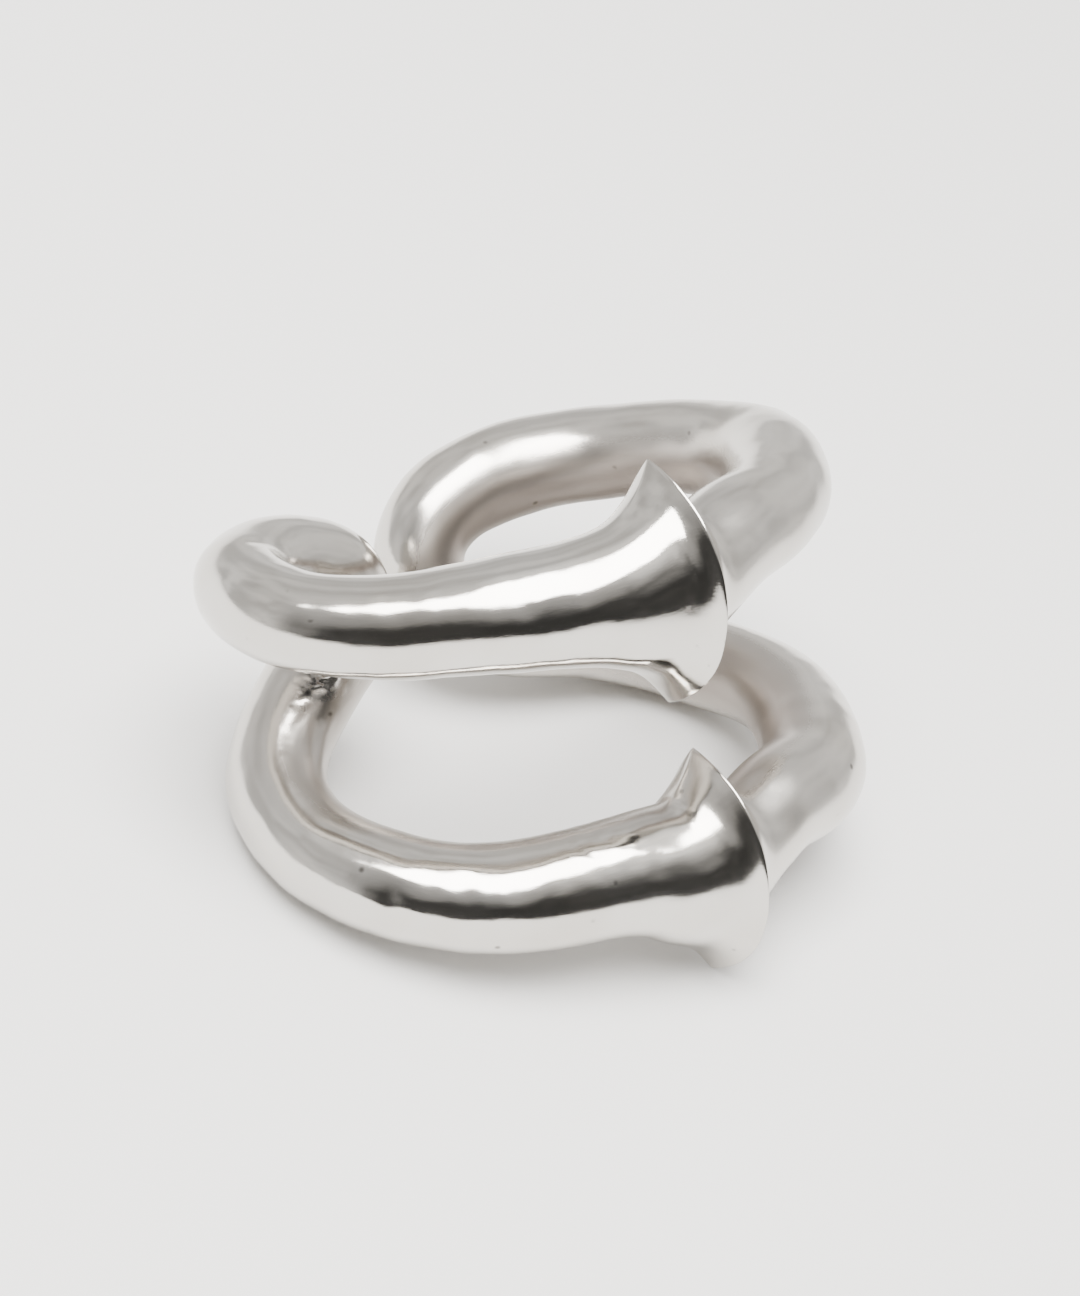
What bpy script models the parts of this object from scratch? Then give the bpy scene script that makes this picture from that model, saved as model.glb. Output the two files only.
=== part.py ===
"""Polished horn cuff: two horn-mouthed front arms and a rear bow.

Lengths below are millimetres in an upright design frame. rest() turns the
object onto its three resting points and gives metres, +Z up.
"""
import math

import bmesh
import bpy
import numpy as np
from mathutils import Matrix, Vector

# ---- driving dimensions (mm) -------------------------------------------
MM = 0.001
MOUTH_AXIS = Vector((0.741, 0.671, 0.0)).normalized()
OUTWARD = Vector((0.671, -0.741, 0.0)).normalized()
UPPER_MOUTH = Vector((11.5, 6.0, 36.5))
LOWER_MOUTH = Vector((16.5, 7.5, 5.0))

RIM_RADIUS = 13.0
RIM_OFFSET = -4.0
RIM_DROP = -0.8
RIM_TOP = math.radians(101.0)
RIM_BOTTOM = math.radians(-84.0)
RIM_INNER = 5.8
RIM_HOLLOW = 2.4
SWELL_OFFSET = -0.5
SWELL_WIDTH = 5.4
SWELL_HEIGHT = 8.6
SWELL_LENGTH = 5.0
FLARE_LENGTH = 2.1
BACK_FLARE_LENGTH = 2.2
BACK_RIM_SCALE = 0.86

SEAT_GAP = 0.3
BORE_RADIUS = 3.5
BORE_DEPTH = 6.6
SPIGOT_RADIUS = 3.2
SPIGOT_DEPTH = 6.0

SIDES = 24
STEP_FINE = 0.55
STEP_COARSE = 2.3
STEP_GROWTH = 1.22
MOUTH_SETTLE = 5.0

SEAM_POINT = Vector((-19.5, 20.0, 25.0))
SEAM_NORMAL = Vector((0.35, -0.10, 0.93)).normalized()
SEAM_GAP = 0.3
SEAM_BLOCK_BELOW = 17.0
SEAM_BLOCK_ABOVE = 24.0
SEAM_LAP = 2

REST_UP = Vector((0.26, -0.2465, 0.9335)).normalized()
REST_SHIFT = Vector((4.5, -25.62, 4.21))

# centre line stations: x, y, z, tube radius
FRONT_ROUTE = (
    # upper bar, from behind the horn to the left
    (5.0, 2.0, 36.5, 5.75),
    (-5.5, 0.0, 35.75, 5.25),
    (-19.0, 0.0, 35.0, 4.75),
    # curl at the left end, turning back
    (-25.0, 2.5, 35.25, 4.75),
    (-28.0, 8.0, 35.0, 4.75),
    (-26.0, 14.0, 34.0, 5.0),
    # riser
    (-20.5, 18.5, 30.5, 5.0),
    (-19.5, 20.0, 25.0, 5.0),
    (-22.0, 20.0, 19.5, 5.0),
    # sweep forward into the lower bar
    (-26.0, 14.0, 13.0, 5.0),
    (-24.0, 6.5, 9.25, 5.0),
    (-13.0, 0.0, 6.25, 5.25),
    (0.0, 0.0, 5.75, 5.5),
    (10.5, 3.5, 5.75, 5.75),
)
REAR_ROUTE = (
    # upper mouth, back and round to the left
    (18.0, 12.5, 38.0, 5.25),
    (22.0, 18.5, 38.0, 5.25),
    (23.5, 25.5, 38.0, 5.25),
    (22.0, 33.5, 36.75, 5.25),
    (16.5, 40.0, 35.0, 5.0),
    (4.0, 44.5, 32.0, 5.0),
    (-9.0, 40.0, 29.5, 5.0),
    # hairpin behind the riser
    (-12.5, 36.5, 25.5, 4.75),
    (-12.0, 35.0, 21.0, 4.75),
    (-8.0, 35.0, 17.0, 4.75),
    # lower bar, back to the lower mouth
    (4.0, 41.5, 12.5, 5.0),
    (12.0, 44.5, 9.25, 5.0),
    (19.5, 42.5, 7.75, 5.0),
    (25.5, 36.5, 7.75, 5.0),
    (28.0, 27.5, 7.5, 5.25),
    (27.5, 20.0, 7.0, 5.5),
    (23.5, 14.5, 7.0, 5.25),
)


# ---- scene ---------------------------------------------------------------
def clear_scene():
    for item in list(bpy.data.objects):
        bpy.data.objects.remove(item, do_unlink=True)


def new_collection(name, hidden=False):
    group = bpy.data.collections.new(name)
    bpy.context.scene.collection.children.link(group)
    group.hide_render = hidden
    return group


def polished_metal(name, colour, roughness):
    material = bpy.data.materials.new(name)
    material.use_nodes = True
    shader = material.node_tree.nodes["Principled BSDF"]
    shader.inputs["Base Color"].default_value = (*colour, 1.0)
    shader.inputs["Metallic"].default_value = 1.0
    shader.inputs["Roughness"].default_value = roughness
    return material


# ---- placing -------------------------------------------------------------
REST_TURN = REST_UP.rotation_difference(Vector((0.0, 0.0, 1.0))).to_matrix()


def rest(point):
    """Design-frame millimetres to world metres, standing on the floor."""
    return (REST_TURN @ Vector(point) + REST_SHIFT) * MM


# ---- route ---------------------------------------------------------------
def cubic_route(stations, samples=24):
    """Natural cubic spline through x, y, z, radius stations."""
    pts = np.array(stations, dtype=float)
    chord = np.linalg.norm(np.diff(pts[:, :3], axis=0), axis=1) ** 0.75
    knot = np.concatenate(([0.0], np.cumsum(chord)))
    gap = np.diff(knot)
    count = len(pts)
    lhs = np.eye(count)
    rhs = np.zeros_like(pts)
    for i in range(1, count - 1):
        lhs[i, i - 1:i + 2] = gap[i - 1], 2.0 * (gap[i - 1] + gap[i]), gap[i]
        after = (pts[i + 1] - pts[i]) / gap[i]
        before = (pts[i] - pts[i - 1]) / gap[i - 1]
        rhs[i] = 6.0 * (after - before)
    bend = np.linalg.solve(lhs, rhs)
    out = []
    for i in range(count - 1):
        for k in range(samples):
            b = k / samples
            a = 1.0 - b
            value = a * pts[i] + b * pts[i + 1]
            value += ((a ** 3 - a) * bend[i] + (b ** 3 - b) * bend[i + 1]) * gap[i] ** 2 / 6.0
            out.append(value)
    out.append(pts[-1])
    return np.array(out)


def stations_along(length):
    """Ring positions: fine at both mouths, coarse between them."""
    marks = [0.0]
    step = STEP_FINE
    while marks[-1] + step < length / 2.0 + step / 2.0:
        marks.append(marks[-1] + step)
        step = min(step * STEP_GROWTH, STEP_COARSE)
    stretch = length / 2.0 / marks[-1]
    marks = [mark * stretch for mark in marks]
    return marks + [length - mark for mark in reversed(marks[:-1])]


def sample_route(route):
    dense = cubic_route(route)
    run = np.concatenate(([0.0], np.cumsum(np.linalg.norm(np.diff(dense[:, :3], axis=0), axis=1))))
    marks = np.array(stations_along(run[-1]))
    rows = np.stack([np.interp(marks, run, dense[:, k]) for k in range(4)], axis=1)
    return rows[:, :3], rows[:, 3], marks


# ---- sections ------------------------------------------------------------
def rim_arc(angle):
    """Outer edge of a mouth: an off-centre circle about the tube's axis."""
    reach = RIM_OFFSET * math.cos(angle) + RIM_DROP * math.sin(angle)
    reach += math.sqrt(reach ** 2 + RIM_RADIUS ** 2 - RIM_OFFSET ** 2 - RIM_DROP ** 2)
    return Vector((reach * math.cos(angle), reach * math.sin(angle)))


def rim_point(angle):
    """Half-collar outline: round outside, drawn in to the tube inside."""
    angle = (angle + math.pi) % (2.0 * math.pi) - math.pi
    if RIM_BOTTOM <= angle <= RIM_TOP:
        return rim_arc(angle)
    limit = RIM_TOP if angle > 0.0 else RIM_BOTTOM
    tip = rim_arc(limit)
    turn = (angle - limit) / (math.copysign(math.pi, limit) - limit)
    height = tip.y * math.cos(turn * math.pi / 2.0)
    share = (height / tip.y) ** RIM_HOLLOW
    return Vector((-RIM_INNER + (tip.x + RIM_INNER) * share, height))


def swell_point(angle):
    """Rounded bell that leads from the tube into the sharp collar."""
    return Vector((SWELL_OFFSET + SWELL_WIDTH * math.cos(angle), SWELL_HEIGHT * math.sin(angle)))


def front_flare(distance):
    return math.exp(-distance / SWELL_LENGTH), math.exp(-distance / FLARE_LENGTH)


def back_flare(distance):
    return 0.0, BACK_RIM_SCALE * math.exp(-distance / BACK_FLARE_LENGTH)


def carried_frames(centre, marks):
    """Outward and upward directions carried along the route without kinks."""
    tangent = [Vector(t).normalized() for t in np.gradient(centre, marks, axis=0)]
    first = MOUTH_AXIS * math.copysign(1.0, tangent[0].dot(MOUTH_AXIS))
    last = MOUTH_AXIS * math.copysign(1.0, tangent[-1].dot(MOUTH_AXIS))
    for i, mark in enumerate(marks):
        pull = math.exp(-(mark / MOUTH_SETTLE) ** 2)
        tangent[i] = tangent[i].lerp(first, pull).normalized()
        pull = math.exp(-((marks[-1] - mark) / MOUTH_SETTLE) ** 2)
        tangent[i] = tangent[i].lerp(last, pull).normalized()
    side = [OUTWARD.copy()]
    for t in tangent[1:]:
        last = side[-1]
        side.append((last - t * last.dot(t)).normalized())
    end = tangent[-1]
    twist = math.atan2(OUTWARD.dot(end.cross(side[-1])), OUTWARD.dot(side[-1]))
    return tangent, side, twist


def lap_ring(centre):
    """Index of the ring nearest the solder seam."""
    return min(range(len(centre)), key=lambda i: (Vector(centre[i]) - SEAM_POINT).length)


def swept_body(name, route, flare, end_slide, share_of_route, origin, collection, material):
    """Loft along the tube; share_of_route is whole, first or last half."""
    centre, radius, marks = sample_route(route)
    length = marks[-1]
    tangent, side, twist = carried_frames(centre, marks)
    angles = [2.0 * math.pi * k / SIDES for k in range(SIDES)]
    mesh_data = bmesh.new()
    rings = []
    for i, mark in enumerate(marks):
        turn = Matrix.Rotation(twist * mark / length, 3, tangent[i])
        across = turn @ side[i]
        along = tangent[i].cross(across)
        swell_share, rim_share = flare(min(mark, length - mark))
        up = 1.0 if along.z >= 0.0 else -1.0
        shift = Vector((0.0, 0.0, 0.0))
        if i in (0, len(marks) - 1):
            shift = MOUTH_AXIS * end_slide
        ring = []
        for angle in angles:
            tube = Vector((math.cos(angle), math.sin(angle))) * radius[i]
            rim = rim_point(angle * up)
            rim.y *= up
            flat = tube.lerp(swell_point(angle), swell_share).lerp(rim, rim_share)
            spot = Vector(centre[i]) + shift + across * flat.x + along * flat.y
            ring.append(mesh_data.verts.new(rest(spot) - rest(origin)))
        rings.append(ring)
    if share_of_route == "first":
        spare = rings[lap_ring(centre) + SEAM_LAP + 1:]
        rings = rings[:lap_ring(centre) + SEAM_LAP + 1]
    elif share_of_route == "last":
        spare = rings[:lap_ring(centre) - SEAM_LAP]
        rings = rings[lap_ring(centre) - SEAM_LAP:]
    else:
        spare = []
    for ring in spare:
        for vert in ring:
            mesh_data.verts.remove(vert)
    for lower, upper in zip(rings, rings[1:]):
        for k in range(SIDES):
            after = (k + 1) % SIDES
            mesh_data.faces.new((lower[k], lower[after], upper[after], upper[k]))
    mesh_data.faces.new(list(reversed(rings[0])))
    mesh_data.faces.new(rings[-1])
    bmesh.ops.recalc_face_normals(mesh_data, faces=mesh_data.faces)
    mesh = bpy.data.meshes.new(name)
    mesh_data.to_mesh(mesh)
    mesh_data.free()
    for face in mesh.polygons:
        face.use_smooth = len(face.vertices) == 4
    body = bpy.data.objects.new(name, mesh)
    body.location = rest(origin)
    collection.objects.link(body)
    mesh.materials.append(material)
    return body


# ---- cutters and tools -----------------------------------------------------
def rod(name, mouth, start, end, radius, collection):
    """Round bar along the mouth axis, from start to end past the mouth."""
    mesh_data = bmesh.new()
    bmesh.ops.create_cone(mesh_data, cap_ends=True, segments=SIDES, radius1=radius * MM,
                          radius2=radius * MM, depth=(end - start) * MM)
    axis = REST_TURN @ MOUTH_AXIS
    turn = Vector((0.0, 0.0, 1.0)).rotation_difference(axis).to_matrix().to_4x4()
    place = Matrix.Translation(rest(mouth + MOUTH_AXIS * (start + end) / 2.0))
    bmesh.ops.transform(mesh_data, matrix=place @ turn, verts=mesh_data.verts)
    mesh = bpy.data.meshes.new(name)
    mesh_data.to_mesh(mesh)
    mesh_data.free()
    bar = bpy.data.objects.new(name, mesh)
    bar.display_type = "WIRE"
    collection.objects.link(bar)
    return bar


def half_space(name, side, size, collection):
    """Block whose near face lies on one bank of the solder seam."""
    normal = REST_TURN @ SEAM_NORMAL
    turn = Vector((0.0, 0.0, 1.0)).rotation_difference(normal).to_matrix().to_4x4()
    centre = SEAM_POINT + SEAM_NORMAL * side * (size - SEAM_GAP) / 2.0
    mesh_data = bmesh.new()
    bmesh.ops.create_cube(mesh_data, size=size * MM)
    place = Matrix.Translation(rest(centre))
    bmesh.ops.transform(mesh_data, matrix=place @ turn, verts=mesh_data.verts)
    mesh = bpy.data.meshes.new(name)
    mesh_data.to_mesh(mesh)
    mesh_data.free()
    block = bpy.data.objects.new(name, mesh)
    block.display_type = "WIRE"
    collection.objects.link(block)
    return block


def combine(body, tool, operation):
    modifier = body.modifiers.new(operation.title(), "BOOLEAN")
    modifier.operation = operation
    modifier.solver = "EXACT"
    modifier.object = tool


# ---- build -----------------------------------------------------------------
clear_scene()
cuff = new_collection("horn_cuff")
cutters = new_collection("cutters", hidden=True)

silver = polished_metal("polished_silver", (0.83, 0.82, 0.80), 0.12)
silver_lower = polished_metal("polished_silver_lower", (0.82, 0.81, 0.79), 0.14)
silver_rear = polished_metal("polished_silver_rear", (0.80, 0.79, 0.77), 0.16)


def with_mouths(route, lead, radius):
    """Route with straight leads so both ends leave along the mouth axis."""
    first = [(*(UPPER_MOUTH + MOUTH_AXIS * d), radius) for d in (0.0, lead)]
    last = [(*(LOWER_MOUTH + MOUTH_AXIS * d), radius) for d in (lead, 0.0)]
    return tuple(first) + route + tuple(last)


front_route = with_mouths(FRONT_ROUTE, -3.5, 6.0)
rear_route = with_mouths(REAR_ROUTE, 3.5, 5.25)

horn_upper = swept_body("horn_upper", front_route, front_flare, 0.0, "first", UPPER_MOUTH,
                        cuff, silver)
horn_lower = swept_body("horn_lower", front_route, front_flare, 0.0, "last", LOWER_MOUTH,
                        cuff, silver_lower)
# the bow slides along the mouth axis, so its origin is on that line
rear_bow = swept_body("rear_bow", rear_route, back_flare, SEAT_GAP, "whole", UPPER_MOUTH,
                      cuff, silver_rear)

bore_upper = rod("bore_upper", UPPER_MOUTH, -BORE_DEPTH, 4.0, BORE_RADIUS, cutters)
bore_lower = rod("bore_lower", LOWER_MOUTH, -BORE_DEPTH, 4.0, BORE_RADIUS, cutters)
spigot_upper = rod("spigot_upper", UPPER_MOUTH, -SPIGOT_DEPTH, 3.0, SPIGOT_RADIUS, cutters)
spigot_lower = rod("spigot_lower", LOWER_MOUTH, -SPIGOT_DEPTH, 3.0, SPIGOT_RADIUS, cutters)
bank_below = half_space("bank_below", -1.0, SEAM_BLOCK_BELOW, cutters)
bank_above = half_space("bank_above", 1.0, SEAM_BLOCK_ABOVE, cutters)

combine(horn_upper, bore_upper, "DIFFERENCE")
combine(horn_upper, bank_below, "DIFFERENCE")
combine(horn_lower, bore_lower, "DIFFERENCE")
combine(horn_lower, bank_above, "DIFFERENCE")
combine(rear_bow, spigot_upper, "UNION")
combine(rear_bow, spigot_lower, "UNION")
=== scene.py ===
# Looks for the horn cuff: its skin, polish and studio. Lengths are mm in the design frame.
import math

import bmesh
import bpy
import numpy as np
from mathutils import Matrix, Vector, noise


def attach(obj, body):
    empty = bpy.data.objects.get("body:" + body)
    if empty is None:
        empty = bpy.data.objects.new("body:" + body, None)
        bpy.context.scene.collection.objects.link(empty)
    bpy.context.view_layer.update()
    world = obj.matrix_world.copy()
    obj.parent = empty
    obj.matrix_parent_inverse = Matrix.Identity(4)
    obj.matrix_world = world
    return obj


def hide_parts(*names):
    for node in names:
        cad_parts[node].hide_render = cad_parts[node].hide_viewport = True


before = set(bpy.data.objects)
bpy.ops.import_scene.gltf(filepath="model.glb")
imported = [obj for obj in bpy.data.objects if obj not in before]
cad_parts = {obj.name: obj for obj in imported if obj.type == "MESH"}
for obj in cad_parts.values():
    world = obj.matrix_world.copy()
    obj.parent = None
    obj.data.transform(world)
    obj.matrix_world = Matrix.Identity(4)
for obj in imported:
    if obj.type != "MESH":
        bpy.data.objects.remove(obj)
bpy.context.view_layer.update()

# ---- frame: the same design frame and resting turn as the CAD part ------
MM = 0.001
MOUTH_AXIS = Vector((0.741, 0.671, 0.0)).normalized()
OUTWARD = Vector((0.671, -0.741, 0.0)).normalized()
UPPER_MOUTH = Vector((11.5, 6.0, 36.5))
LOWER_MOUTH = Vector((16.5, 7.5, 5.0))
REST_UP = Vector((0.26, -0.2465, 0.9335)).normalized()
REST_SHIFT = Vector((4.5, -25.62, 4.21))
REST_TURN = REST_UP.rotation_difference(Vector((0.0, 0.0, 1.0))).to_matrix()

RIM_RADIUS = 13.0
RIM_OFFSET = -4.0
RIM_DROP = -0.8
RIM_TOP = math.radians(101.0)
RIM_BOTTOM = math.radians(-84.0)
RIM_INNER = 5.8
RIM_HOLLOW = 2.4
SWELL_OFFSET = -0.5
SWELL_WIDTH = 5.4
SWELL_HEIGHT = 8.6
SWELL_LENGTH = 5.0
FLARE_LENGTH = 2.1
BACK_FLARE_LENGTH = 2.2
BACK_RIM_SCALE = 0.86
MOUTH_SETTLE = 5.0
SEAT_GAP = 0.3

BORE_RADIUS = 3.5
BORE_DEPTH = 6.6
SPIGOT_RADIUS = 3.2
SPIGOT_DEPTH = 6.0

# the joint between the two arms, on the riser, and the seam that runs along it
SEAM_POINT = Vector((-19.5, 20.0, 25.0))
SEAM_NORMAL = Vector((0.35, -0.10, 0.93)).normalized()
SEAM_RUN = Vector((0.3, 0.3, 0.9)).normalized()
SEAM_REACH = 15.0
SEAM_LEFT_OF = -10.0
SEAM_BELOW = 29.0
SEAM_MIDDLE = -4.5
SEAM_LENGTH = 6.0
SEAM_WIDTH = 0.55
SEAM_SHIFT = 1.2
SEAM_WANDER = 0.8
SEAM_SIDE = Vector((0.0, -0.88, 0.47)).normalized()
CUFF_MIDDLE = Vector((0.0, 21.0, 21.0))

# the skin: faces around, spacing along, and where the even spacing begins
SIDES = 112
STEP = 0.42
NEAR_MOUTH = (0.0, 0.06, 0.14, 0.25, 0.4, 0.6, 0.85)
EVEN_FROM = 1.1

FRONT_ROUTE = (
    # upper bar, from behind the horn to the left
    (5.0, 2.0, 36.5, 5.75),
    (-5.5, 0.0, 35.75, 5.25),
    (-19.0, 0.0, 35.0, 4.75),
    # curl at the left end, turning back
    (-25.0, 2.5, 35.25, 4.75),
    (-28.0, 8.0, 35.0, 4.75),
    (-26.0, 14.0, 34.0, 5.0),
    # riser
    (-20.5, 18.5, 30.5, 5.0),
    (-19.5, 20.0, 25.0, 5.0),
    (-22.0, 20.0, 19.5, 5.0),
    # sweep forward into the lower bar
    (-26.0, 14.0, 13.0, 5.0),
    (-24.0, 6.5, 9.25, 5.0),
    (-13.0, 0.0, 6.25, 5.25),
    (0.0, 0.0, 5.75, 5.5),
    (10.5, 3.5, 5.75, 5.75),
)
REAR_ROUTE = (
    # upper mouth, back and round to the left
    (18.0, 12.5, 38.0, 5.25),
    (22.0, 18.5, 38.0, 5.25),
    (23.5, 25.5, 38.0, 5.25),
    (22.0, 33.5, 36.75, 5.25),
    (16.5, 40.0, 35.0, 5.0),
    (4.0, 44.5, 32.0, 5.0),
    (-9.0, 40.0, 29.5, 5.0),
    # hairpin behind the riser
    (-12.5, 36.5, 25.5, 4.75),
    (-12.0, 35.0, 21.0, 4.75),
    (-8.0, 35.0, 17.0, 4.75),
    # lower bar, back to the lower mouth
    (4.0, 41.5, 12.5, 5.0),
    (12.0, 44.5, 9.25, 5.0),
    (19.5, 42.5, 7.75, 5.0),
    (25.5, 36.5, 7.75, 5.0),
    (28.0, 27.5, 7.5, 5.25),
    (27.5, 20.0, 7.0, 5.5),
    (23.5, 14.5, 7.0, 5.25),
)


def rest(point):
    """A place in the design frame (mm), turned and moved to the frame's metres."""
    return (REST_TURN @ Vector(point) + REST_SHIFT) * MM


def cubic_route(stations, samples=24):
    """Natural cubic through the stations, spaced by chord to the power 0.75."""
    pts = np.array(stations, dtype=float)
    chord = np.linalg.norm(np.diff(pts[:, :3], axis=0), axis=1) ** 0.75
    knot = np.concatenate(([0.0], np.cumsum(chord)))
    gap = np.diff(knot)
    count = len(pts)
    lhs = np.eye(count)
    rhs = np.zeros_like(pts)
    for i in range(1, count - 1):
        lhs[i, i - 1:i + 2] = gap[i - 1], 2.0 * (gap[i - 1] + gap[i]), gap[i]
        after = (pts[i + 1] - pts[i]) / gap[i]
        before = (pts[i] - pts[i - 1]) / gap[i - 1]
        rhs[i] = 6.0 * (after - before)
    bend = np.linalg.solve(lhs, rhs)
    out = []
    for i in range(count - 1):
        for k in range(samples):
            b = k / samples
            a = 1.0 - b
            value = a * pts[i] + b * pts[i + 1]
            value += ((a ** 3 - a) * bend[i] + (b ** 3 - b) * bend[i + 1]) * gap[i] ** 2 / 6.0
            out.append(value)
    out.append(pts[-1])
    return np.array(out)


def sample_route(route):
    """Centre, radius and distance along the route, closer together near the mouths."""
    dense = cubic_route(route)
    run = np.concatenate(([0.0], np.cumsum(np.linalg.norm(np.diff(dense[:, :3], axis=0), axis=1))))
    count = int((run[-1] - 2.0) / STEP)
    middle = list(np.linspace(EVEN_FROM, run[-1] - EVEN_FROM, count))
    marks = np.array(list(NEAR_MOUTH) + middle + [run[-1] - m for m in reversed(NEAR_MOUTH)])
    rows = np.stack([np.interp(marks, run, dense[:, k]) for k in range(4)], axis=1)
    return rows[:, :3], rows[:, 3], marks


def rim_arc(angle):
    """Outer edge of a mouth: an off-centre circle about the tube's axis."""
    reach = RIM_OFFSET * math.cos(angle) + RIM_DROP * math.sin(angle)
    reach += math.sqrt(reach ** 2 + RIM_RADIUS ** 2 - RIM_OFFSET ** 2 - RIM_DROP ** 2)
    return Vector((reach * math.cos(angle), reach * math.sin(angle)))


def rim_point(angle):
    """Half-collar outline: round outside, drawn in to the tube inside."""
    angle = (angle + math.pi) % (2.0 * math.pi) - math.pi
    if RIM_BOTTOM <= angle <= RIM_TOP:
        return rim_arc(angle)
    limit = RIM_TOP if angle > 0.0 else RIM_BOTTOM
    tip = rim_arc(limit)
    turn = (angle - limit) / (math.copysign(math.pi, limit) - limit)
    height = tip.y * math.cos(turn * math.pi / 2.0)
    share = (height / tip.y) ** RIM_HOLLOW
    return Vector((-RIM_INNER + (tip.x + RIM_INNER) * share, height))


def swell_point(angle):
    """Rounded bell that leads from the tube into the sharp collar."""
    return Vector((SWELL_OFFSET + SWELL_WIDTH * math.cos(angle), SWELL_HEIGHT * math.sin(angle)))


def front_flare(distance):
    """Shares of the swell and of the rim at a distance from a front mouth."""
    return math.exp(-distance / SWELL_LENGTH), math.exp(-distance / FLARE_LENGTH)


def back_flare(distance):
    return 0.0, BACK_RIM_SCALE * math.exp(-distance / BACK_FLARE_LENGTH)


def carried_frames(centre, marks):
    """Tangents that settle on the mouth axis, sides carried along, and the twist left over."""
    tangent = [Vector(t).normalized() for t in np.gradient(centre, marks, axis=0)]
    first = MOUTH_AXIS * math.copysign(1.0, tangent[0].dot(MOUTH_AXIS))
    last = MOUTH_AXIS * math.copysign(1.0, tangent[-1].dot(MOUTH_AXIS))
    for i, mark in enumerate(marks):
        pull = math.exp(-(mark / MOUTH_SETTLE) ** 2)
        tangent[i] = tangent[i].lerp(first, pull).normalized()
        pull = math.exp(-((marks[-1] - mark) / MOUTH_SETTLE) ** 2)
        tangent[i] = tangent[i].lerp(last, pull).normalized()
    side = [OUTWARD.copy()]
    for t in tangent[1:]:
        before = side[-1]
        side.append((before - t * before.dot(t)).normalized())
    end = tangent[-1]
    twist = math.atan2(OUTWARD.dot(end.cross(side[-1])), OUTWARD.dot(side[-1]))
    return tangent, side, twist


def with_mouths(route, lead, radius):
    """The route with both mouths, and a second point that keeps each end straight."""
    first = [(*(UPPER_MOUTH + MOUTH_AXIS * d), radius) for d in (0.0, lead)]
    last = [(*(LOWER_MOUTH + MOUTH_AXIS * d), radius) for d in (lead, 0.0)]
    return tuple(first) + route + tuple(last)


def lip_rounding(distance, radius):
    """How far the rim's edge draws in, near the very mouth."""
    if distance >= radius:
        return 0.0
    return radius - math.sqrt(max(radius ** 2 - (radius - distance) ** 2, 0.0))


def hand_wave(point, salt, size, depth):
    """Slow unevenness left by hand filing and polishing."""
    spot = Vector(point) / size + Vector((salt, 0.0, 0.0))
    return depth * noise.noise(spot)


def bump(value, middle, spread):
    return math.exp(-((value - middle) / spread) ** 2)


# hand marks: place (mm), reach, depth
DENTS = (
    (Vector((-16.0, -2.5, 10.0)), 1.7, 0.07),
    (Vector((-14.0, -4.0, 8.5)), 1.0, 0.06),
    (Vector((-7.0, -4.0, 9.0)), 1.3, 0.10),
    (Vector((-27.0, 8.0, 39.5)), 0.8, 0.10),
    (Vector((1.0, -4.0, 38.5)), 1.8, 0.12),
    (Vector((4.0, -3.0, 38.0)), 1.2, -0.08),
    (Vector((8.0, -1.0, 11.0)), 1.5, -0.10),
)
ROUGH_SPOT = Vector((5.5, 0.5, 11.0))
ROUGH_SIZE = 3.6
ROUGH_DEPTH = 0.07
ROUGH_GRAIN = 1.3
# a patch near the sweep into the lower bar, added to the inward-face mask: rougher, and darkened with
# painted shade
DULL_SHADE_SPOT = Vector((-24.0, 12.0, 16.0))
DULL_SHADE_SIZE = 11.0
DULL_SHADE_SHARE = 0.6
# places worked over by hand: middle (mm), reach, unevenness
WORKED_SPOTS = (
    (Vector((-13.0, -3.0, 10.0)), 6.0, 0.09),
    (Vector((-2.0, -4.0, 10.0)), 4.0, 0.07),
    (Vector((0.0, -4.0, 38.0)), 5.0, 0.08),
    (Vector((12.0, 1.0, 12.0)), 4.5, 0.10),
    (Vector((27.5, 20.0, 10.0)), 6.0, 0.10),
    (Vector((22.0, 17.0, 42.0)), 6.0, 0.10),
)
WORKED_GRAIN = 2.6
# pits close to the rims: distance from the mouth (mm), angle (degrees)
RIM_PITS = ((2.6, 4.0), (1.1, -14.0), (1.6, -27.0), (0.9, -38.0), (4.2, -33.0))
PIT_ARM = 7.5
PIT_DEPTH = 0.05
PIT_SIZE = 0.28
PIT_STAIN_SIZE = 0.34
# painted shade: the bow's skin darkened near both ends, in the crevice where it meets the horns
CREVICE_SHADE = 0.55
CREVICE_REACH = 0.9
# the bore or spigot inside a mouth, and how soon the bow's seat gap closes
PLUG_BEVEL = 0.25
PLUG_NICK = 0.001
SEAT_EASE = 1.05


def hand_marks(spot):
    """Dents, one rough place and the worked-over places, as a rise in mm."""
    rise = 0.0
    for place, size, depth in DENTS:
        rise -= depth * bump((spot - place).length, 0.0, size)
    rough = bump((spot - ROUGH_SPOT).length, 0.0, ROUGH_SIZE)
    rise += ROUGH_DEPTH * rough * noise.noise(spot * ROUGH_GRAIN)
    for place, size, depth in WORKED_SPOTS:
        rise += depth * bump((spot - place).length, 0.0, size) * noise.noise(spot / WORKED_GRAIN + place)
    return rise


def rim_pits(mark, angle):
    """Rise and stain of the pits close to a front rim."""
    rise = stain = 0.0
    for distance, degrees in RIM_PITS:
        turned = (angle - math.radians(degrees) + math.pi) % (2.0 * math.pi) - math.pi
        away = math.hypot(mark - distance, turned * PIT_ARM)
        rise -= PIT_DEPTH * bump(away, 0.0, PIT_SIZE)
        stain = max(stain, bump(away, 0.0, PIT_STAIN_SIZE))
    return rise, stain


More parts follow.
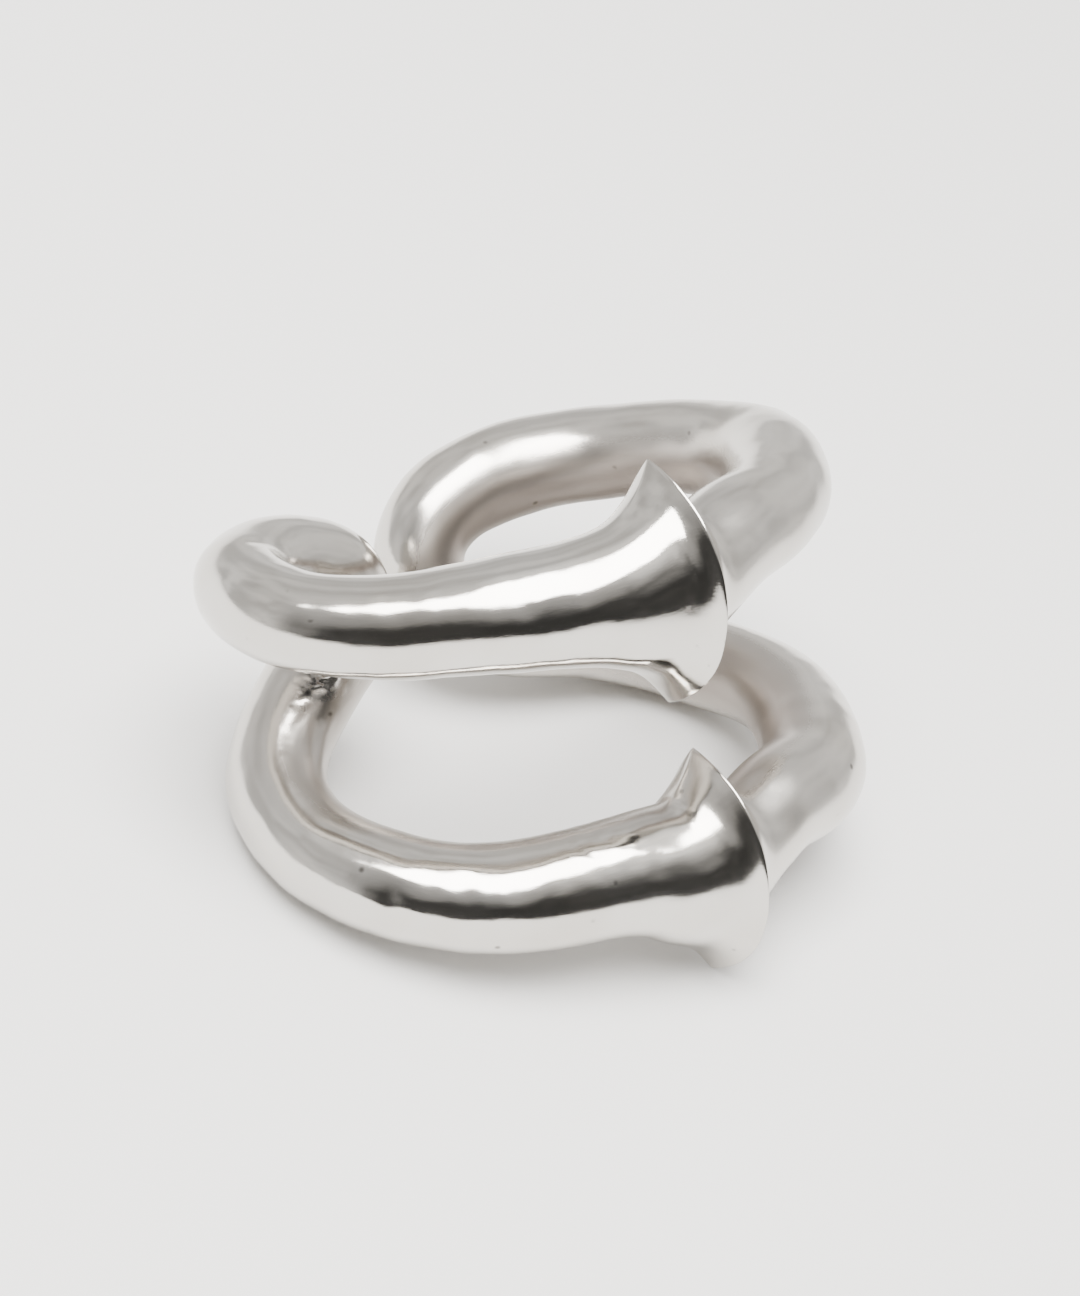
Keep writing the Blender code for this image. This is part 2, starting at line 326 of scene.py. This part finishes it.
def solder_marks(spot, outward, tangent, radius):
    """Lengthwise seam, its pits and the joint between the arms, on the riser."""
    from_seam = spot - SEAM_POINT
    if spot.x > SEAM_LEFT_OF or spot.z > SEAM_BELOW or from_seam.length > SEAM_REACH:
        return 0.0, 0.0
    sideways = tangent.cross(SEAM_SIDE).normalized()
    facing = outward.dot(SEAM_SIDE)
    offset = outward.dot(sideways) * radius + SEAM_SHIFT + SEAM_WANDER * noise.noise(spot / 3.0)
    reach = bump(from_seam.dot(SEAM_RUN), SEAM_MIDDLE, SEAM_LENGTH)
    seam = pits = marred = 0.0
    if facing > 0.0:
        seam = reach * bump(offset, 0.0, SEAM_WIDTH)
        ragged = max(noise.noise(spot * 1.3 + Vector((4.0, 0.0, 0.0))) - 0.05, 0.0)
        pits = reach * bump(offset, 0.6, 1.5) * ragged
        marred = reach * bump(offset, 0.2, 1.1)
    collar = bump(from_seam.dot(SEAM_NORMAL), 0.0, 0.45)
    bead = bump(from_seam.dot(SEAM_NORMAL), 0.0, 1.6) * (0.4 + noise.noise(spot / 0.9))
    depth = 0.2 * seam + 0.5 * pits + 0.16 * collar - 0.07 * bead
    return -depth, min(1.0, 0.95 * marred + 0.5 * collar)


def loft(name, route, flare, end_slide, plug, lip, waves, keep=None):
    """Closed skin along a route; plug is a bore's or spigot's (radius, depth).

    keep is "first" or "last" for the part of the route up to or from the joint on the riser.
    """
    centre, radius, marks = sample_route(route)
    length = marks[-1]
    tangent, side, twist = carried_frames(centre, marks)
    angles = [2.0 * math.pi * k / SIDES for k in range(SIDES)]
    mesh_data = bmesh.new()
    along_layer = mesh_data.verts.layers.float.new("along")
    round_layer = mesh_data.verts.layers.float.new("around")
    stain_and_shade_layer = mesh_data.verts.layers.float.new("stain")
    inner_layer = mesh_data.verts.layers.float.new("inner")
    grid = []
    index_range = range(len(marks))
    if keep is not None:
        cut = min(index_range, key=lambda i: (Vector(centre[i]) - SEAM_POINT).length)
        index_range = range(0, cut + 1) if keep == "first" else range(cut, len(marks))

    def place(i, shrink, slide, disc=None):
        """One ring of the skin, or of a round disc inside a mouth."""
        mark = marks[i]
        from_mouth = min(mark, length - mark)
        turn = Matrix.Rotation(twist * mark / length, 3, tangent[i])
        across = turn @ side[i]
        along = tangent[i].cross(across)
        swell_share, rim_share = flare(from_mouth)
        up = 1.0 if along.z >= 0.0 else -1.0
        ring = []
        for k, angle in enumerate(angles):
            unit = Vector((math.cos(angle), math.sin(angle)))
            if disc is None:
                rim = rim_point(angle * up)
                rim.y *= up
                flat = (unit * radius[i]).lerp(swell_point(angle), swell_share).lerp(rim, rim_share)
                flat = flat * (1.0 - shrink / flat.length)
            else:
                flat = unit * disc
            spot = Vector(centre[i]) + slide + across * flat.x + along * flat.y
            stain = inner = 0.0
            if disc is None:
                outward = (across * flat.x + along * flat.y).normalized()
                rise, stain = solder_marks(spot, outward, tangent[i], radius[i])
                rise += sum(hand_wave(spot, *wave) for wave in waves)
                rise += hand_marks(spot)
                if not end_slide:
                    pit_rise, pit_stain = rim_pits(mark, angle * up)
                    rise += pit_rise
                    stain = max(stain, pit_stain)
                # how far the skin faces into the cuff, plus the dull patch; the material paints shade
                # from this and makes it rougher
                inner = max(0.0, outward.dot((CUFF_MIDDLE - spot).normalized()))
                inner = min(1.0, inner + DULL_SHADE_SHARE * bump((spot - DULL_SHADE_SPOT).length, 0.0, DULL_SHADE_SIZE))
                spot += outward * rise
            # painted crevice shade, kept in the stain attribute beside the real stains
            crevice_shade = CREVICE_SHADE * math.exp(-from_mouth / CREVICE_REACH) if end_slide else 0.0
            vert = mesh_data.verts.new(rest(spot))
            vert[along_layer] = mark
            vert[round_layer] = k / SIDES
            vert[stain_and_shade_layer] = max(stain, crevice_shade)
            vert[inner_layer] = inner
            ring.append(vert)
        return ring

    still = Vector((0.0, 0.0, 0.0))
    slides = MOUTH_AXIS * end_slide
    plug_radius, plug_depth = plug

    def plug_rings(i):
        """Rings from the bottom of the bore or spigot out to the mouth."""
        rings = [place(i, 0.0, slides - MOUTH_AXIS * plug_depth, disc=plug_radius - PLUG_NICK)]
        for depth, disc in (
            (plug_depth - PLUG_BEVEL, plug_radius),
            (PLUG_BEVEL, plug_radius),
            (0.0, plug_radius + PLUG_BEVEL),
        ):
            rings.append(place(i, 0.0, slides - MOUTH_AXIS * depth, disc=disc))
        return rings

    for i in index_range:
        from_mouth = min(marks[i], length - marks[i])
        slide = still if from_mouth > SEAT_EASE else slides * (1.0 - from_mouth / SEAT_EASE)
        grid.append(place(i, lip_rounding(from_mouth, lip), slide))
    if index_range[0] == 0:
        grid = plug_rings(0) + grid
    if index_range[-1] == len(marks) - 1:
        grid = grid + list(reversed(plug_rings(len(marks) - 1)))
    for lower, upper in zip(grid, grid[1:]):
        for k in range(SIDES):
            after = (k + 1) % SIDES
            mesh_data.faces.new((lower[k], lower[after], upper[after], upper[k]))
    mesh_data.faces.new(list(reversed(grid[0])))
    mesh_data.faces.new(grid[-1])
    bmesh.ops.recalc_face_normals(mesh_data, faces=mesh_data.faces)
    mesh = bpy.data.meshes.new(name)
    mesh_data.to_mesh(mesh)
    mesh_data.free()
    for face in mesh.polygons:
        face.use_smooth = True
    body = bpy.data.objects.new(name, mesh)
    bpy.context.scene.collection.objects.link(body)
    return body


MOUTH_LEAD = 3.5
FRONT_MOUTH_TUBE = 6.0
REAR_MOUTH_TUBE = 5.25
front_route = with_mouths(FRONT_ROUTE, -MOUTH_LEAD, FRONT_MOUTH_TUBE)
rear_route = with_mouths(REAR_ROUTE, MOUTH_LEAD, REAR_MOUTH_TUBE)
# unevenness of the whole skin: salt, size, depth
WAVES = ((3.1, 7.0, 0.17), (8.7, 3.2, 0.065), (5.3, 1.6, 0.016))
FRONT_LIP = 0.35
REAR_LIP = 0.25
BORE = (BORE_RADIUS, BORE_DEPTH)
SPIGOT = (SPIGOT_RADIUS, SPIGOT_DEPTH)

upper = loft("horn_arm_upper", front_route, front_flare, 0.0, BORE, FRONT_LIP, WAVES, "first")
lower = loft("horn_arm_lower", front_route, front_flare, 0.0, BORE, FRONT_LIP, WAVES, "last")
bow = loft("bow", rear_route, back_flare, SEAT_GAP, SPIGOT, REAR_LIP, WAVES)


# ---- materials -----------------------------------------------------------
DULLER = (0.91, 0.895, 0.87)
# painted shade: the warm dark grey that faces turned into the cuff are darkened towards
PAINTED_INNER_SHADE = (0.27, 0.23, 0.205)
PIT_DIRT = (0.10, 0.09, 0.08)
# brown for the real stains and for the painted crevice shade
STAIN_AND_SHADE_BROWN = (0.16, 0.13, 0.11)


def silver(name, colour, roughness, scratch_depth, inner_shade_share):
    """Hand-polished silver: cloudy polish, lengthwise scratches, pits, and painted shade on faces turned
    into the cuff.
    """
    material = bpy.data.materials.new(name)
    material.use_nodes = True
    tree = material.node_tree
    link = tree.links.new
    shader = tree.nodes["Principled BSDF"]
    shader.inputs["Metallic"].default_value = 1.0
    coords = tree.nodes.new("ShaderNodeTexCoord")

    def attribute(which):
        node = tree.nodes.new("ShaderNodeAttribute")
        node.attribute_name = which
        return node.outputs["Fac"]

    def texture(vector, scale, detail, rough=0.5):
        node = tree.nodes.new("ShaderNodeTexNoise")
        node.inputs["Scale"].default_value = scale
        node.inputs["Detail"].default_value = detail
        node.inputs["Roughness"].default_value = rough
        link(vector, node.inputs["Vector"])
        return node.outputs["Fac"]

    def mapped(source, low, high, to_low, to_high):
        node = tree.nodes.new("ShaderNodeMapRange")
        node.inputs["From Min"].default_value = low
        node.inputs["From Max"].default_value = high
        node.inputs["To Min"].default_value = to_low
        node.inputs["To Max"].default_value = to_high
        link(source, node.inputs["Value"])
        return node.outputs["Result"]

    def maths(operation, first, second):
        node = tree.nodes.new("ShaderNodeMath")
        node.operation = operation
        node.use_clamp = operation == "ADD"
        for socket, value in zip(node.inputs, (first, second)):
            if isinstance(value, float):
                socket.default_value = value
            else:
                link(value, socket)
        return node.outputs["Value"]

    def blended(factor, first, second):
        node = tree.nodes.new("ShaderNodeMix")
        node.data_type = "RGBA"
        link(factor, node.inputs["Factor"])
        for socket, value in (("A", first), ("B", second)):
            if isinstance(value, tuple):
                node.inputs[socket].default_value = (*value, 1.0)
            else:
                link(value, node.inputs[socket])
        return node.outputs["Result"]

    spot = coords.outputs["Object"]
    lengthwise = tree.nodes.new("ShaderNodeCombineXYZ")
    link(maths("MULTIPLY", attribute("along"), 0.35), lengthwise.inputs["X"])
    link(maths("MULTIPLY", attribute("around"), 40.0), lengthwise.inputs["Y"])
    scratches = texture(lengthwise.outputs["Vector"], 3.0, 5.0, 0.7)
    cloud = texture(spot, 95.0, 4.0)
    wide_cloud = texture(spot, 32.0, 2.0)
    grain = texture(spot, 2400.0, 3.0)
    cells = tree.nodes.new("ShaderNodeTexVoronoi")
    cells.inputs["Scale"].default_value = 330.0
    link(spot, cells.inputs["Vector"])
    sparse = mapped(texture(spot, 210.0, 1.0), 0.56, 0.62, 0.0, 1.0)
    pits = maths("MULTIPLY", mapped(cells.outputs["Distance"], 0.05, 0.13, 1.0, 0.0), sparse)
    # the stain attribute carries real stains and the painted crevice shade; both are broken up here and
    # tinted brown
    patchy_stain_and_shade = mapped(texture(spot, 850.0, 3.0, 0.6), 0.52, 0.6, 0.1, 1.0)
    stain = maths("MULTIPLY", attribute("stain"), patchy_stain_and_shade)

    duller = tuple(part * shade for part, shade in zip(colour, DULLER))
    tone = blended(mapped(cloud, 0.4, 0.72, 0.0, 1.0), colour, duller)
    # painted shade on faces turned into the cuff, made patchy, standing in for the shaded floor they
    # reflect
    inner_shade = mapped(attribute("inner"), 0.15, 0.85, 0.0, inner_shade_share)
    inner_shade = maths("MULTIPLY", inner_shade, mapped(wide_cloud, 0.3, 0.65, 0.55, 1.0))
    tone = blended(inner_shade, tone, PAINTED_INNER_SHADE)
    tone = blended(mapped(pits, 0.0, 1.0, 0.0, 0.75), tone, PIT_DIRT)
    tone = blended(mapped(stain, 0.15, 0.85, 0.0, 0.85), tone, STAIN_AND_SHADE_BROWN)
    link(tone, shader.inputs["Base Color"])
    polish = mapped(wide_cloud, 0.35, 0.7, roughness * 0.75, roughness * 1.3)
    polish = maths("ADD", polish, mapped(scratches, 0.5, 0.8, 0.0, roughness * 0.5))
    polish = maths("ADD", polish, mapped(attribute("inner"), 0.1, 0.8, 0.0, 0.22))
    link(maths("ADD", polish, mapped(stain, 0.1, 0.8, 0.0, 0.4)), shader.inputs["Roughness"])
    height = maths("ADD", mapped(grain, 0.0, 1.0, 0.0, 0.25), mapped(scratches, 0.3, 0.75, 0.0, 0.5))
    surface = tree.nodes.new("ShaderNodeBump")
    surface.inputs["Strength"].default_value = scratch_depth
    surface.inputs["Distance"].default_value = 0.0001
    link(maths("SUBTRACT", height, pits), surface.inputs["Height"])
    link(surface.outputs["Normal"], shader.inputs["Normal"])
    return material


# the rear bow takes the painted inward shade at full strength, the front arms at half
FRONT_SILVER = silver("front_silver", (0.605, 0.583, 0.55), 0.10, 0.06, 0.5)
REAR_SILVER = silver("rear_silver", (0.60, 0.575, 0.54), 0.18, 0.08, 1.0)
for piece, material, node, body, slot in (
    (upper, FRONT_SILVER, "horn_upper", "front_link", "polished_silver"),
    (lower, FRONT_SILVER, "horn_lower", "front_link", "polished_silver_lower"),
    (bow, REAR_SILVER, "rear_bow", "rear_link", "polished_silver_rear"),
):
    piece.data.materials.append(material)
    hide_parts(node)
    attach(piece, body)

# ---- stage ---------------------------------------------------------------
FLOOR_HALF = 3.0
FLOOR_TONES = ((0.93, 0.925, 0.915, 1.0), (0.95, 0.947, 0.94, 1.0))


def pale_floor():
    """Plain pale floor, faintly uneven in tone."""
    half = FLOOR_HALF
    mesh = bpy.data.meshes.new("studio_floor")
    corners = [(-half, -half, 0), (half, -half, 0), (half, half, 0), (-half, half, 0)]
    mesh.from_pydata(corners, [], [(0, 1, 2, 3)])
    ground = bpy.data.objects.new("studio_floor", mesh)
    bpy.context.scene.collection.objects.link(ground)
    material = bpy.data.materials.new("floor_paint")
    material.use_nodes = True
    tree = material.node_tree
    shader = tree.nodes["Principled BSDF"]
    weave = tree.nodes.new("ShaderNodeTexNoise")
    weave.inputs["Scale"].default_value = 40.0
    tint = tree.nodes.new("ShaderNodeMix")
    tint.data_type = "RGBA"
    tint.inputs["A"].default_value, tint.inputs["B"].default_value = FLOOR_TONES
    tree.links.new(weave.outputs["Fac"], tint.inputs["Factor"])
    tree.links.new(tint.outputs["Result"], shader.inputs["Base Color"])
    shader.inputs["Roughness"].default_value = 0.9
    shader.inputs["Specular IOR Level"].default_value = 0.0
    mesh.materials.append(material)
    return ground


floor = pale_floor()

# the studio by direction from the object: where the dark part ends, and each part's strength
DARK_EDGE_Y = (-0.35, 0.0)
DARK_EDGE_X = (-0.8, -0.45)
DARK_TOP = (0.45, 0.94)
DARKNESS = 0.925
OVERHEAD = 1.5
PALE_LOW = 1.35
PALE_HIGH = 1.15
STUDIO_WHITE = (1.0, 0.985, 0.96)


def studio_light():
    """Pale studio all round, bright overhead, dark on the camera's side."""
    world = bpy.data.worlds.new("studio")
    world.use_nodes = True
    bpy.context.scene.world = world
    tree = world.node_tree
    link = tree.links.new
    coords = tree.nodes.new("ShaderNodeTexCoord")
    ripple = tree.nodes.new("ShaderNodeTexNoise")
    ripple.inputs["Scale"].default_value = 2.6
    ripple.inputs["Detail"].default_value = 2.0
    link(coords.outputs["Generated"], ripple.inputs["Vector"])
    split = tree.nodes.new("ShaderNodeSeparateXYZ")
    link(coords.outputs["Generated"], split.inputs["Vector"])

    def step(source, low, high, to_low=0.0, to_high=1.0):
        node = tree.nodes.new("ShaderNodeMapRange")
        node.interpolation_type = "SMOOTHSTEP"
        node.inputs["From Min"].default_value = low
        node.inputs["From Max"].default_value = high
        node.inputs["To Min"].default_value = to_low
        node.inputs["To Max"].default_value = to_high
        link(source, node.inputs["Value"])
        return node.outputs["Result"]

    def maths(operation, first, second):
        node = tree.nodes.new("ShaderNodeMath")
        node.operation = operation
        for socket, value in zip(node.inputs, (first, second)):
            if isinstance(value, float):
                socket.default_value = value
            else:
                link(value, socket)
        return node.outputs["Value"]

    height = maths("ADD", split.outputs["Z"], step(ripple.outputs["Fac"], 0.3, 0.7, -0.1, 0.1))
    ahead = step(split.outputs["Y"], DARK_EDGE_Y[0], DARK_EDGE_Y[1], 1.0, 0.0)
    left = step(split.outputs["X"], DARK_EDGE_X[0], DARK_EDGE_X[1])
    low = step(height, DARK_TOP[0], DARK_TOP[1], 1.0, 0.0)
    dark = maths("MULTIPLY", maths("MULTIPLY", ahead, left), low)
    overhead = step(height, 0.8, 1.0, 0.0, OVERHEAD)
    glow = maths("ADD", step(split.outputs["Z"], 0.0, 0.8, PALE_LOW, PALE_HIGH), overhead)
    glow = maths("MULTIPLY", glow, step(ripple.outputs["Fac"], 0.35, 0.65, 1.1, 0.7))
    shade = maths("MULTIPLY", glow, maths("SUBTRACT", 1.0, maths("MULTIPLY", dark, DARKNESS)))
    tone = tree.nodes.new("ShaderNodeMix")
    tone.data_type = "RGBA"
    tone.inputs["A"].default_value = (0.0, 0.0, 0.0, 1.0)
    tone.inputs["B"].default_value = (*STUDIO_WHITE, 1.0)
    tone.clamp_factor = False
    link(shade, tone.inputs["Factor"])
    link(tone.outputs["Result"], tree.nodes["Background"].inputs["Color"])


studio_light()

# ---- camera ----------------------------------------------------------------
CAMERA_TILT = math.radians(28.0)
CAMERA_DISTANCE = 300.0
CAMERA_TARGET = Vector((0.0, 20.0, 22.0))
FILM_HEIGHT = 36.0
LENS_LENGTH = 250.0 / 3.0


def photo_camera():
    """Long lens, looking down at the cuff as it stood in the design frame."""
    right = Vector((1.0, 0.0, 0.0))
    gaze = Vector((0.0, math.cos(CAMERA_TILT), -math.sin(CAMERA_TILT)))
    turn = Matrix((right, right.cross(gaze), -gaze)).transposed()
    eye = rest(CAMERA_TARGET - gaze * CAMERA_DISTANCE)
    lens = bpy.data.cameras.new("photo_camera")
    lens.sensor_fit = "VERTICAL"
    lens.sensor_height = FILM_HEIGHT
    lens.lens = LENS_LENGTH
    lens.clip_start = 0.01
    camera = bpy.data.objects.new("photo_camera", lens)
    bpy.context.scene.collection.objects.link(camera)
    camera.matrix_world = Matrix.Translation(eye) @ (REST_TURN @ turn).to_4x4()
    return camera


bpy.context.scene.camera = photo_camera()


def key_light(name, spot, energy, size, colour):
    """Square lamp aimed at the middle of the floor."""
    data = bpy.data.lights.new(name, "AREA")
    data.energy = energy
    data.size = size
    data.color = colour
    lamp = bpy.data.objects.new(name, data)
    lamp.location = spot
    lamp.rotation_euler = (-Vector(spot)).to_track_quat("-Z", "Y").to_euler()
    bpy.context.scene.collection.objects.link(lamp)


key_light("soft_top", (-0.10, -0.12, 0.72), 15.0, 0.5, STUDIO_WHITE)
